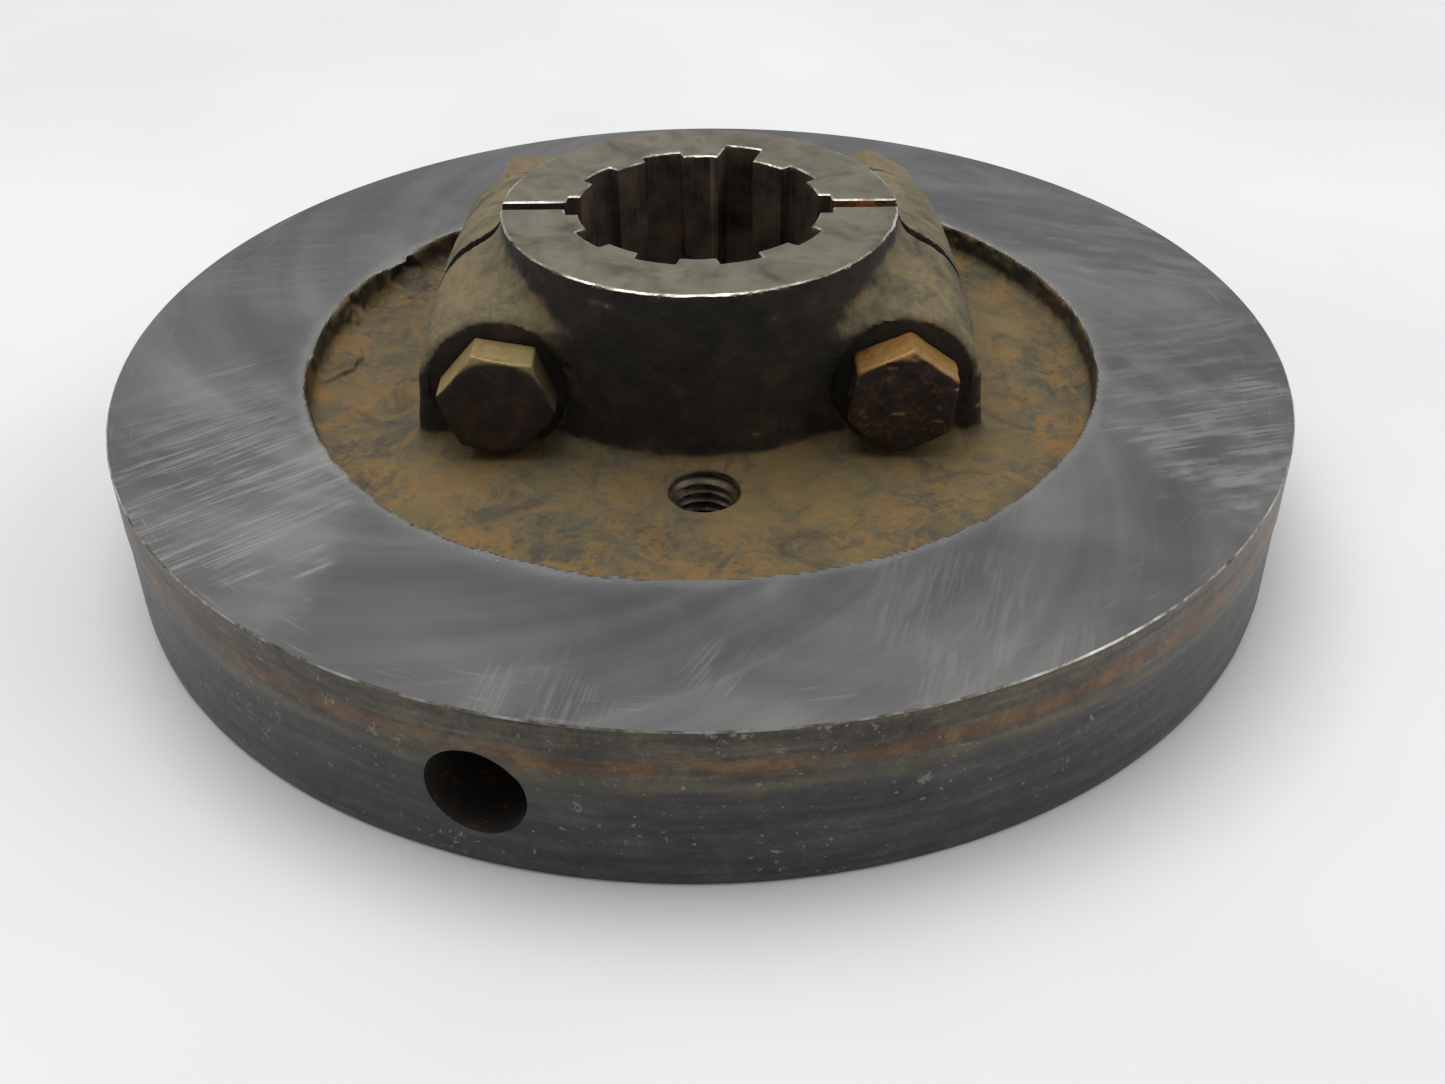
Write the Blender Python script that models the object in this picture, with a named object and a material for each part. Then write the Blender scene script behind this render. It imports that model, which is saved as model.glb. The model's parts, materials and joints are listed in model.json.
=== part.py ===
"""Split-hub drive disc: a cast-iron disc with a splined hub that two cross bolts clamp on a shaft.

Metres, +Z up. The origin is on the bore axis at the underside, the flat rim face that the disc
stands on. The saw slit that splits the hub lies in the plane Y = 0, and the clamp bolts run
along Y, with their heads at -Y and their nuts at +Y.
"""
import math

import bmesh
import bpy
from mathutils import Matrix, Vector

# Disc
DISC_RADIUS = 0.1143
RIM_THICKNESS = 0.0325
RIM_TOP_CHAMFER = 0.0004
RIM_BOTTOM_CHAMFER = 0.0014
RELIEF_RADIUS = 0.084
RELIEF_DEPTH = 0.0015
RECESS_RADIUS = 0.0777
RECESS_WALL_DRAFT = 0.0008
RECESS_WALL_FILLET = 0.0012
WEB_DEPTH_AT_WALL = 0.0060
WEB_DEPTH_AT_HUB = 0.0053
DISC_SEGMENTS = 96

# Hub boss, spline and slit
HUB_TOP_RADIUS = 0.0375
HUB_BASE_RADIUS = 0.0357
HUB_RISE = 0.0303
HUB_EDGE_CHAMFER = 0.0005
HUB_FILLET = 0.0030
SPLINE_COUNT = 10
SPLINE_MINOR_RADIUS = 0.0231
SPLINE_MAJOR_RADIUS = 0.0254
SPLINE_WIDTH = 0.0079
MASTER_SPLINE_INDEX = 2
MASTER_SPLINE_RADIUS = 0.0290
MASTER_SPLINE_WIDTH = 0.0074
SLIT_WIDTH = 0.0030
SLIT_HALF_LENGTH = 0.0560
SLIT_FLOOR_ABOVE_WEB = 0.0013

# Clamp lugs: one arched section at each of three stations along Y
BOLT_X = 0.0371
BOLT_RISE = 0.0060
LUG_FRONT_Y = -0.0260
LUG_REAR_Y = 0.0451
LUG_ROOT_DEPTH = 0.0085
LUG_SIDE_DRAFT = 0.0008
# (Y, arch centre X, arch centre above the machined face, arch radius)
LUG_STATIONS = (
    (LUG_FRONT_Y, 0.0371, 0.0046, 0.0154),
    (0.0, 0.0360, 0.0091, 0.0157),
    (LUG_REAR_Y, 0.0374, 0.0034, 0.0146),
)
SPOT_FACE_RADIUS = 0.0130
SPOT_FACE_DEPTH = 0.0004
SPOT_FACE_FLOOR = 0.0052
SPOT_FACE_REACH = 0.0150
CLEARANCE_HOLE_RADIUS = 0.00715
CLEARANCE_HOLE_REACH = 0.0150

# Tapped puller holes in the web, and the plain hole in the rim
TAPPED_RADIUS = 0.0059
TAPPED_SEGMENTS = 24
TAPPED_CIRCLE_RADIUS = 0.0440
TAPPED_ANGLE = {"front": math.radians(-89.1), "rear": math.radians(90.9)}
RIM_HOLE_RADIUS = 0.00855
RIM_HOLE_SEGMENTS = 28
RIM_HOLE_HEIGHT = 0.0156
RIM_HOLE_ANGLE = math.radians(-107.5)
RIM_HOLE_DEPTH = 0.0240
DRILL_POINT = math.radians(59.0)

# How far a cutter runs past the faces that it cuts
CUT_OVERRUN = 0.0020
RIM_CUT_OVERRUN = 0.0060

# Half-inch fasteners, 13 threads per inch
FASTENER_GAP = 0.0003
BOLT_SHANK_RADIUS = 0.00635
BOLT_THREAD_RADIUS = 0.0060
BOLT_LENGTH = 0.0889
BOLT_THREAD_LENGTH = 0.03175
BOLT_THREAD_RUNOUT = 0.0005
BOLT_END_CHAMFER = 0.0012
HEX_ACROSS_FLATS = 0.01905
HEX_CHAMFER_ANGLE = math.radians(30.0)
HEX_BLANK_EXCESS = 0.0010
HEX_CORNER_MARGIN = 0.0003
HEX_FACE_INSET = 0.0002
HEX_FORM_SEGMENTS = 36
HEAD_HEIGHT = 0.0079
HEAD_TURN = {"left": math.radians(11.0), "right": math.radians(-23.0)}
NUT_HEIGHT = 0.0111
NUT_BORE_RADIUS = 0.00635
NUT_TURN = {"left": math.radians(0.0), "right": math.radians(-33.0)}
WASHER_INNER_RADIUS = 0.0066
WASHER_OUTER_RADIUS = 0.0106
WASHER_HEIGHT = 0.0032
WASHER_SPLIT = 0.0016
WASHER_SPLIT_LEAN = math.radians(25.0)
WASHER_SPLIT_AT = {"left": math.radians(100.0), "right": math.radians(200.0)}
FASTENER_SEGMENTS = 32

SIDES = {"left": -1.0, "right": 1.0}
WEB_Z_AT_HUB = RIM_THICKNESS - WEB_DEPTH_AT_HUB
WEB_Z_AT_WALL = RIM_THICKNESS - WEB_DEPTH_AT_WALL
HUB_TOP_Z = RIM_THICKNESS + HUB_RISE
BOLT_Z = RIM_THICKNESS + BOLT_RISE
FRONT_SEAT_Y = LUG_FRONT_Y + SPOT_FACE_DEPTH
REAR_SEAT_Y = LUG_REAR_Y - SPOT_FACE_DEPTH


# Scene and mesh helpers

def clear_scene():
    for item in list(bpy.data.objects):
        bpy.data.objects.remove(item, do_unlink=True)


def material(name, colour, roughness, metallic):
    finish = bpy.data.materials.new(name)
    finish.use_nodes = True
    shader = finish.node_tree.nodes["Principled BSDF"]
    shader.inputs["Base Color"].default_value = (*colour, 1.0)
    shader.inputs["Roughness"].default_value = roughness
    shader.inputs["Metallic"].default_value = metallic
    return finish


def add_object(name, mesh_data, finish=None, smooth_angle=math.radians(35.0)):
    """Turn a bmesh into a named object with outward normals."""
    bmesh.ops.recalc_face_normals(mesh_data, faces=mesh_data.faces)
    mesh = bpy.data.meshes.new(name)
    mesh_data.to_mesh(mesh)
    mesh_data.free()
    item = bpy.data.objects.new(name, mesh)
    bpy.context.scene.collection.objects.link(item)
    if finish:
        mesh.materials.append(finish)
        mesh.shade_smooth()
        mesh.set_sharp_from_angle(angle=smooth_angle)
    return item


def add_cutter(name, mesh_data):
    cutter = add_object(name, mesh_data)
    cutter.hide_render = True
    cutter.display_type = "WIRE"
    return cutter


def combine(item, other, operation):
    modifier = item.modifiers.new(other.name, "BOOLEAN")
    modifier.operation = operation
    modifier.solver = "EXACT"
    modifier.object = other


def loft(sections):
    """Closed body through outlines that all have the same number of points."""
    body = bmesh.new()
    rings = [[body.verts.new(point) for point in section] for section in sections]
    count = len(rings[0])
    for ring, following in zip(rings, rings[1:]):
        for index in range(count):
            after = (index + 1) % count
            body.faces.new((ring[index], ring[after], following[after], following[index]))
    body.faces.new(rings[0])
    body.faces.new(rings[-1])
    return body


def prism(outline, low, high):
    """Outline in X and Y, extruded along Z."""
    return loft([[Vector((x, y, z)) for x, y in outline] for z in (low, high)])


def turned(profile, segments):
    """Body turned about Z from (radius, height) points that start and end on the axis."""
    body = bmesh.new()
    base = body.verts.new((0.0, 0.0, profile[0][1]))
    rings = []
    for radius, height in profile[1:-1]:
        angles = [2.0 * math.pi * index / segments for index in range(segments)]
        points = [(radius * math.cos(a), radius * math.sin(a), height) for a in angles]
        rings.append([body.verts.new(point) for point in points])
    tip = body.verts.new((0.0, 0.0, profile[-1][1]))
    for index in range(segments):
        after = (index + 1) % segments
        body.faces.new((base, rings[0][index], rings[0][after]))
        body.faces.new((tip, rings[-1][index], rings[-1][after]))
        for ring, following in zip(rings, rings[1:]):
            body.faces.new((ring[index], ring[after], following[after], following[index]))
    return body


def cylinder(radius, low, high, segments=FASTENER_SEGMENTS):
    return turned([(0.0, low), (radius, low), (radius, high), (0.0, high)], segments)


def arc(centre, radius, start, end, steps):
    """Points on an arc in a plane, from one angle to another."""
    angles = [start + (end - start) * step / steps for step in range(steps + 1)]
    return [(centre[0] + radius * math.cos(a), centre[1] + radius * math.sin(a)) for a in angles]


def along_y(body, x=0.0, y=0.0, z=0.0):
    """Lay a body that was made along Z along Y, with its base at the given place."""
    turn = Matrix.Rotation(math.radians(-90.0), 4, "X")
    body.transform(Matrix.Translation((x, y, z)) @ turn)
    return body


# Disc casting

def casting_profile():
    """Half section of the disc, its recessed web and the hub boss, from the underside up."""
    relief = RELIEF_DEPTH
    top = RIM_THICKNESS
    wall_foot = RECESS_RADIUS - RECESS_WALL_DRAFT
    wall_fillet = arc(
        (wall_foot - RECESS_WALL_FILLET, WEB_Z_AT_WALL + RECESS_WALL_FILLET),
        RECESS_WALL_FILLET, 0.0, math.radians(-90.0), 3)
    hub_fillet = arc(
        (HUB_BASE_RADIUS + HUB_FILLET, WEB_Z_AT_HUB + HUB_FILLET),
        HUB_FILLET, math.radians(-90.0), math.radians(-180.0), 4)
    return [
        (0.0, relief),
        (RELIEF_RADIUS - relief, relief),
        (RELIEF_RADIUS, 0.0),
        (DISC_RADIUS - RIM_BOTTOM_CHAMFER, 0.0),
        (DISC_RADIUS, RIM_BOTTOM_CHAMFER),
        (DISC_RADIUS, top - RIM_TOP_CHAMFER),
        (DISC_RADIUS - RIM_TOP_CHAMFER, top),
        (RECESS_RADIUS, top),
        *wall_fillet,
        *hub_fillet,
        (HUB_TOP_RADIUS, HUB_TOP_Z - HUB_EDGE_CHAMFER),
        (HUB_TOP_RADIUS - HUB_EDGE_CHAMFER, HUB_TOP_Z),
        (0.0, HUB_TOP_Z),
    ]


def lug_section(side, y, centre_x, centre_rise, radius):
    """Arched outline of a clamp lug in the plane of constant Y, open side down into the web."""
    root_z = RIM_THICKNESS - LUG_ROOT_DEPTH
    centre_z = RIM_THICKNESS + centre_rise
    outline = [(centre_x + radius + LUG_SIDE_DRAFT, root_z)]
    outline += arc((centre_x, centre_z), radius, 0.0, math.pi, 14)
    outline += [(centre_x - radius - LUG_SIDE_DRAFT, root_z)]
    return [Vector((side * x, y, z)) for x, z in outline]


def add_lug(name, side):
    sections = [lug_section(side, *station) for station in LUG_STATIONS]
    return add_cutter(f"{name}_lug_shape", loft(sections))


def spline_outline():
    """Outline of the bore: equal grooves between the teeth, and one deeper master groove."""
    outline = []
    pitch = 2.0 * math.pi / SPLINE_COUNT
    for index in range(SPLINE_COUNT):
        is_master = index == MASTER_SPLINE_INDEX
        depth_radius = MASTER_SPLINE_RADIUS if is_master else SPLINE_MAJOR_RADIUS
        half_width = 0.5 * (MASTER_SPLINE_WIDTH if is_master else SPLINE_WIDTH)
        centre = index * pitch
        tip = math.asin(half_width / depth_radius)
        root = math.asin(half_width / SPLINE_MINOR_RADIUS)
        next_width = MASTER_SPLINE_WIDTH if index + 1 == MASTER_SPLINE_INDEX else SPLINE_WIDTH
        next_root = math.asin(0.5 * next_width / SPLINE_MINOR_RADIUS)
        outline += arc((0.0, 0.0), depth_radius, centre - tip, centre + tip, 2)
        outline += arc((0.0, 0.0), SPLINE_MINOR_RADIUS, centre + root, centre + pitch - next_root, 2)
    return outline


def add_spline_cutter():
    return add_cutter("spline_cutter", prism(spline_outline(), -CUT_OVERRUN, HUB_TOP_Z + CUT_OVERRUN))


def add_slit_cutter():
    outline = [
        (-SLIT_HALF_LENGTH, -0.5 * SLIT_WIDTH), (SLIT_HALF_LENGTH, -0.5 * SLIT_WIDTH),
        (SLIT_HALF_LENGTH, 0.5 * SLIT_WIDTH), (-SLIT_HALF_LENGTH, 0.5 * SLIT_WIDTH),
    ]
    floor = WEB_Z_AT_HUB + SLIT_FLOOR_ABOVE_WEB
    return add_cutter("slit_cutter", prism(outline, floor, HUB_TOP_Z + CUT_OVERRUN))


def add_bolt_hole_cutter(name, side):
    start = LUG_FRONT_Y - CLEARANCE_HOLE_REACH
    end = LUG_REAR_Y + CLEARANCE_HOLE_REACH
    hole = cylinder(CLEARANCE_HOLE_RADIUS, start, end)
    return add_cutter(f"{name}_bolt_hole_cutter", along_y(hole, x=side * BOLT_X, z=BOLT_Z))


def add_spot_face_cutter(name, side, start, end):
    """Round facing cut with a flat foot that stays just above the web."""
    foot = -(BOLT_RISE + SPOT_FACE_FLOOR)
    half_angle = math.asin(foot / SPOT_FACE_RADIUS)
    outline = arc((0.0, 0.0), SPOT_FACE_RADIUS, half_angle, math.pi - half_angle, 24)
    centre_x = side * BOLT_X
    sections = [[Vector((centre_x + x, y, BOLT_Z + z)) for x, z in outline] for y in (start, end)]
    return add_cutter(name, loft(sections))


def add_tapped_hole_cutter(name, angle):
    hole = cylinder(TAPPED_RADIUS, -CUT_OVERRUN, RIM_THICKNESS, TAPPED_SEGMENTS)
    place = Matrix.Translation((TAPPED_CIRCLE_RADIUS, 0.0, 0.0))
    hole.transform(Matrix.Rotation(angle, 4, "Z") @ place)
    return add_cutter(f"{name}_tapped_hole_cutter", hole)


def add_rim_hole_cutter():
    """Radial drilling with a pointed end, made along Z and then laid in its direction."""
    tip = RIM_HOLE_DEPTH + RIM_HOLE_RADIUS / math.tan(DRILL_POINT)
    drill = turned([
        (0.0, -RIM_CUT_OVERRUN), (RIM_HOLE_RADIUS, -RIM_CUT_OVERRUN),
        (RIM_HOLE_RADIUS, RIM_HOLE_DEPTH), (0.0, tip)], RIM_HOLE_SEGMENTS)
    outward = Vector((math.cos(RIM_HOLE_ANGLE), math.sin(RIM_HOLE_ANGLE), 0.0))
    turn = (-outward).to_track_quat("Z", "Y").to_matrix().to_4x4()
    mouth = outward * DISC_RADIUS + Vector((0.0, 0.0, RIM_HOLE_HEIGHT))
    drill.transform(Matrix.Translation(mouth) @ turn)
    return add_cutter("rim_hole_cutter", drill)


def add_drive_disc(finish):
    """The one casting: disc, web, split hub boss and both pairs of clamp lugs."""
    disc = add_object("drive_disc", turned(casting_profile(), DISC_SEGMENTS), finish)
    for name, side in SIDES.items():
        combine(disc, add_lug(name, side), "UNION")
    combine(disc, add_spline_cutter(), "DIFFERENCE")
    combine(disc, add_slit_cutter(), "DIFFERENCE")
    for name, side in SIDES.items():
        front_start = LUG_FRONT_Y - SPOT_FACE_REACH
        rear_end = LUG_REAR_Y + SPOT_FACE_REACH
        front = add_spot_face_cutter(f"{name}_front_spot_face_cutter", side, front_start, FRONT_SEAT_Y)
        rear = add_spot_face_cutter(f"{name}_rear_spot_face_cutter", side, REAR_SEAT_Y, rear_end)
        combine(disc, front, "DIFFERENCE")
        combine(disc, rear, "DIFFERENCE")
        combine(disc, add_bolt_hole_cutter(name, side), "DIFFERENCE")
    for name, angle in TAPPED_ANGLE.items():
        combine(disc, add_tapped_hole_cutter(name, angle), "DIFFERENCE")
    combine(disc, add_rim_hole_cutter(), "DIFFERENCE")
    return disc


# Fasteners: each is made along local Z, with local Z then laid along Y

def hexagon(turn):
    corner = HEX_ACROSS_FLATS / math.sqrt(3.0)
    angles = [turn + math.radians(60.0) * index for index in range(6)]
    return [(corner * math.cos(a), corner * math.sin(a)) for a in angles]


def chamfer_form(low, high, chamfer_low, chamfer_high):
    """Turned form that rounds a hexagon's corners off at one or both of its faces."""
    corner = HEX_ACROSS_FLATS / math.sqrt(3.0) + HEX_CORNER_MARGIN
    face = 0.5 * HEX_ACROSS_FLATS - HEX_FACE_INSET
    drop = (corner - face) * math.tan(HEX_CHAMFER_ANGLE)
    profile = [(0.0, low), (face if chamfer_low else corner, low)]
    if chamfer_low:
        profile.append((corner, low + drop))
    if chamfer_high:
        profile.append((corner, high - drop))
    profile += [(face if chamfer_high else corner, high), (0.0, high)]
    return turned(profile, HEX_FORM_SEGMENTS)


def place_on_bolt_axis(item, side, y):
    item.location = (side * BOLT_X, y, BOLT_Z)
    return item


def add_clamp_bolt(name, side, finish):
    """Hexagon-head bolt: local origin on its axis, under the head."""
    head = prism(hexagon(HEAD_TURN[name]), -HEAD_HEIGHT - HEX_BLANK_EXCESS, 0.0)
    bolt = add_object(f"clamp_bolt_{name}", along_y(head), finish)
    form = chamfer_form(-HEAD_HEIGHT, HEX_BLANK_EXCESS, True, False)
    rounding = add_cutter(f"{name}_head_chamfer_form", along_y(form))
    shoulder = BOLT_LENGTH - BOLT_THREAD_LENGTH
    shank = turned([
        (0.0, -0.5 * HEAD_HEIGHT), (BOLT_SHANK_RADIUS, -0.5 * HEAD_HEIGHT),
        (BOLT_SHANK_RADIUS, shoulder), (BOLT_THREAD_RADIUS, shoulder + BOLT_THREAD_RUNOUT),
        (BOLT_THREAD_RADIUS, BOLT_LENGTH - BOLT_END_CHAMFER),
        (BOLT_THREAD_RADIUS - BOLT_END_CHAMFER, BOLT_LENGTH), (0.0, BOLT_LENGTH)], FASTENER_SEGMENTS)
    shank_form = add_cutter(f"{name}_shank_form", along_y(shank))
    combine(bolt, rounding, "INTERSECT")
    combine(bolt, shank_form, "UNION")
    for item in (bolt, rounding, shank_form):
        place_on_bolt_axis(item, side, FRONT_SEAT_Y - FASTENER_GAP)
    return bolt


def add_lock_washer(name, side, finish):
    """Split spring washer, pressed flat, with a leaning cut through its ring."""
    profile = [
        (WASHER_INNER_RADIUS, 0.0), (WASHER_OUTER_RADIUS, 0.0),
        (WASHER_OUTER_RADIUS, WASHER_HEIGHT), (WASHER_INNER_RADIUS, WASHER_HEIGHT)]
    middle = 0.5 * (WASHER_INNER_RADIUS + WASHER_OUTER_RADIUS)
    sections = []
    for step in range(FASTENER_SEGMENTS + 1):
        share = step / FASTENER_SEGMENTS
        section = []
        for radius, height in profile:
            lean = (height - 0.5 * WASHER_HEIGHT) * math.tan(WASHER_SPLIT_LEAN) / middle
            margin = 0.5 * WASHER_SPLIT / middle
            start = WASHER_SPLIT_AT[name] + margin + lean
            angle = start + share * (2.0 * math.pi - 2.0 * margin)
            section.append(Vector((radius * math.cos(angle), radius * math.sin(angle), height)))
        sections.append(section)
    washer = add_object(f"lock_washer_{name}", along_y(loft(sections)), finish)
    return place_on_bolt_axis(washer, side, REAR_SEAT_Y + FASTENER_GAP)


def add_clamp_nut(name, side, finish):
    """Hexagon nut, chamfered on both faces, with a plain bore that clears the bolt's thread."""
    blank = prism(hexagon(NUT_TURN[name]), -HEX_BLANK_EXCESS, NUT_HEIGHT + HEX_BLANK_EXCESS)
    nut = add_object(f"clamp_nut_{name}", along_y(blank), finish)
    form = chamfer_form(0.0, NUT_HEIGHT, True, True)
    hole = cylinder(NUT_BORE_RADIUS, -CUT_OVERRUN, NUT_HEIGHT + CUT_OVERRUN)
    rounding = add_cutter(f"{name}_nut_chamfer_form", along_y(form))
    bore = add_cutter(f"{name}_nut_bore_cutter", along_y(hole))
    combine(nut, rounding, "INTERSECT")
    combine(nut, bore, "DIFFERENCE")
    seat = REAR_SEAT_Y + 2.0 * FASTENER_GAP + WASHER_HEIGHT
    for item in (nut, rounding, bore):
        place_on_bolt_axis(item, side, seat)
    return nut


def build():
    clear_scene()
    cast_iron = material("cast_iron", (0.16, 0.15, 0.14), 0.55, 0.7)
    rusted_steel = material("rusted_steel", (0.17, 0.10, 0.05), 0.65, 0.5)
    spring_steel = material("spring_steel", (0.12, 0.09, 0.07), 0.5, 0.7)
    add_drive_disc(cast_iron)
    for name, side in SIDES.items():
        add_clamp_bolt(name, side, rusted_steel)
        add_lock_washer(name, side, spring_steel)
        add_clamp_nut(name, side, rusted_steel)


build()
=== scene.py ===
"""Looks of the split-hub drive disc: its worn casting, clamp bolts, nuts and washers, on a pale floor.

Shapes are worked out in millimetres and go into the meshes in metres. The frame is the CAD's:
+Z along the bore, the slit in the plane Y = 0, and the bolts along Y with their heads in front.
"""

import json
import math

import bmesh
import bpy
import numpy as np
from mathutils import Matrix, Vector


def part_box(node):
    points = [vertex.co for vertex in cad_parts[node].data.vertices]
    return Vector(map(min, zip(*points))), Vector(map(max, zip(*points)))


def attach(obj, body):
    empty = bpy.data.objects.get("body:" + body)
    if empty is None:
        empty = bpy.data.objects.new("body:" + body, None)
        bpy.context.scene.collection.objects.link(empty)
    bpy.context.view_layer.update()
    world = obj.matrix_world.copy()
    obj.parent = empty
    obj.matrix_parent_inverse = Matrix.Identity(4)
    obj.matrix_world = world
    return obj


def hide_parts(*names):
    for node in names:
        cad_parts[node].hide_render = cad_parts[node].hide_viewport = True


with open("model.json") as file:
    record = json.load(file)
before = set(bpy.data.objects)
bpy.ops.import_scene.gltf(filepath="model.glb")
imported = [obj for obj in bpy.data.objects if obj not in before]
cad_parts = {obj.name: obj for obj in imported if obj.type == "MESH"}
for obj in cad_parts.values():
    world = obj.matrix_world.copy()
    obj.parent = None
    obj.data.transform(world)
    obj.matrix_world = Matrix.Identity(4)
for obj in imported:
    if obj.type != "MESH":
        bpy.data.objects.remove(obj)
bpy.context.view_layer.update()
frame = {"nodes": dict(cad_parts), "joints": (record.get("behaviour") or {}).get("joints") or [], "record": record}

MM = 1000.0
SIDES = {"left": -1.0, "right": 1.0}
JOINTS = {joint["name"]: joint for joint in frame["joints"]}
MOUNTS = {mount["name"]: mount for mount in frame["record"]["mounts"]}

# Casting, in millimetres
disc_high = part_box("drive_disc")[1]
DISC_RADIUS = disc_high.x * MM
HUB_TOP = disc_high.z * MM
FACE_Z = MOUNTS["machined_face"]["pos_m"][2] * MM
BOLT_X = JOINTS["right_bolt_turn"]["pos_m"][0] * MM
BOLT_Z = JOINTS["right_bolt_turn"]["pos_m"][2] * MM
WEB_Z_AT_HUB = FACE_Z - 5.3
WEB_Z_AT_WALL = FACE_Z - 6.0
WEB_INNER_RADIUS = 38.0
UNDERSIDE_RELIEF = 1.5
RELIEF_RADIUS = 84.0
RECESS_RADIUS = 77.7
RECESS_FOOT_RADIUS = 76.9
HUB_TOP_RADIUS = 37.5
HUB_BASE_RADIUS = 35.7
LUG_FRONT = -26.0
LUG_REAR = 45.1
LUG_STATIONS = (LUG_FRONT, 0.0, LUG_REAR)
LUG_CENTRES = (37.1, 36.0, 37.4)
LUG_RISES = (4.6, 9.1, 3.4)
LUG_RADII = (15.4, 15.7, 14.6)
LUG_DRAFT = 0.8
SPOT_FACE_RADIUS = 13.0
SPOT_FACE_DEPTH = 0.4
CLEARANCE_HOLE_RADIUS = 7.15
CUTTER_REACH = 62.0
SPLINE_COUNT = 10
SPLINE_MINOR_RADIUS = 23.1
SPLINE_MAJOR_RADIUS = 25.4
SPLINE_HALF_WIDTH = 3.95
MASTER_SPLINE_INDEX = 2
MASTER_SPLINE_RADIUS = 29.0
MASTER_SPLINE_HALF_WIDTH = 3.7
SLIT_HALF_WIDTH = 1.5
SLIT_START = 20.0
SLIT_HALF_LENGTH = 56.0
SLIT_FLOOR = WEB_Z_AT_HUB + 1.3
TAPPED_CIRCLE_RADIUS = 44.0
TAPPED_ANGLES = {"front": math.radians(-89.1), "rear": math.radians(90.9)}
TAPPED_HOLE_RADIUS = 6.5
RIM_HOLE_RADIUS = 8.55
RIM_HOLE_HEIGHT = 15.6
RIM_HOLE_ANGLE = math.radians(-107.5)
RIM_HOLE_DEPTH = 24.0
DRILL_POINT = math.radians(59.0)
PARTING_DROP = 11.6
PAD_CENTRE = (64.6, 1.2)
PAD_HALF_SIZE = (2.6, 11.5)
PAD_HEIGHT = 0.45
LAP_LINE_Y = (-4.0, -1.1, 0.8, 5.0, 9.5, 13.0)
LAP_LINE_X = (-75.5, -72.6, -70.6, -69.7, -70.3, -72.0)
LAP_MIDDLE_Y = 4.5
LAP_HALF_LENGTH = 9.5
LAP_HEIGHT = 0.9
LUG_FILLET = 6.5
WALL_FILLET = 2.2
HUB_FILLET = 3.2
LUG_END_ROUNDING = 2.4
WALL_INNER_RADIUS = 72.0

# Where the finely made middle of the casting ends and the plain turned rim takes over
CORE_RADIUS = 80.0
CORE_OVERLAP = 0.5

# Half-inch fasteners, 13 threads per inch
THREAD_PITCH = 25.4 / 13.0
THREAD_MAJOR_RADIUS = 6.25
THREAD_MINOR_RADIUS = 5.25
SHANK_RADIUS = 6.3
HALF_ACROSS_FLATS = 9.5
HEX_CHAMFER_RADIUS = 9.2
HEX_CHAMFER_ANGLE = math.radians(30.0)
HEX_REACH = 12.4
HEAD_HEIGHT = 7.9
NUT_HEIGHT = 11.1
NUT_BORE_RADIUS = 6.4
THREADED_LENGTH = 31.75
TAPPED_CREST_RADIUS = 5.35
TAPPED_ROOT_RADIUS = 6.45
TAPPED_THREAD_WALL = 0.35
HEAD_ANGLE = {"left": math.radians(-11.0), "right": math.radians(23.0)}
HEAD_WEAR = {"left": 0.15, "right": 1.0}
HEAD_SEED = {"left": 41, "right": 57}
NUT_ANGLE = {"left": math.radians(0.0), "right": math.radians(33.0)}
NUT_SEED = 61

CASTING_STEP = 0.6
FASTENER_STEP = 0.28
CASTING_TRIANGLES = 150000
RIM_SEGMENTS = 480
THREAD_SEGMENTS = 64
CASTING_FINISHES = (
    "cast_skin", "machined_face", "hub_face", "rim_side", "bore", "slit", "worn_edge", "underside")


# Numbers that look random but are the same each run

def lattice(ix, iy, iz, seed):
    """A number from 0 to 1 for each whole-number lattice point."""
    mixed = ix * 73856093 ^ iy * 19349663 ^ iz * 83492791 ^ (seed * 9176583 + 1013)
    mixed = (mixed ^ (mixed >> 13)) * 1274126177
    mixed = mixed ^ (mixed >> 16)
    return (mixed & 0xFFFF) / 65535.0


def noise(points, size, seed):
    """Smooth noise from -1 to 1 whose lumps are about `size` millimetres across."""
    cell = points / size
    base = np.floor(cell).astype(np.int64)
    part = cell - base
    part = part * part * (3.0 - 2.0 * part)
    total = np.zeros(len(points))
    for corner in np.ndindex(2, 2, 2):
        weight = np.prod(np.where(corner, part, 1.0 - part), axis=1)
        total += weight * lattice(*(base + corner).T, seed)
    return 2.0 * total - 1.0


# Distance fields: negative inside the metal, in millimetres

def smooth_min(a, b, blend):
    """The lower of two distances, with their meeting line filled by a fillet."""
    share = np.clip(0.5 + 0.5 * (b - a) / blend, 0.0, 1.0)
    return b + (a - b) * share - blend * share * (1.0 - share)


def smooth_max(a, b, blend):
    """The higher of two distances, with their meeting line rounded off."""
    return -smooth_min(-a, -b, blend)


def lug_field(x, y, z, side):
    """Arched clamp lug, tallest beside the hub and lower at its front and rear faces."""
    front_slope = (LUG_RISES[1] - LUG_RISES[0]) / (LUG_STATIONS[1] - LUG_STATIONS[0])
    rear_slope = (LUG_RISES[2] - LUG_RISES[1]) / (LUG_STATIONS[2] - LUG_STATIONS[1])
    rise = smooth_min(LUG_RISES[1] + front_slope * y, LUG_RISES[1] + rear_slope * y, 2.0)
    centre_z = FACE_Z + rise
    across = side * x - np.interp(y, LUG_STATIONS, LUG_CENTRES)
    draft = LUG_DRAFT * np.clip((centre_z - z) / (centre_z - WEB_Z_AT_HUB), 0.0, 1.0)
    arch = np.hypot(across, np.maximum(z - centre_z, 0.0)) - draft
    arch -= np.interp(y, LUG_STATIONS, LUG_RADII)
    return smooth_max(arch, np.maximum(LUG_FRONT - y, y - LUG_REAR), LUG_END_ROUNDING)


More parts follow.
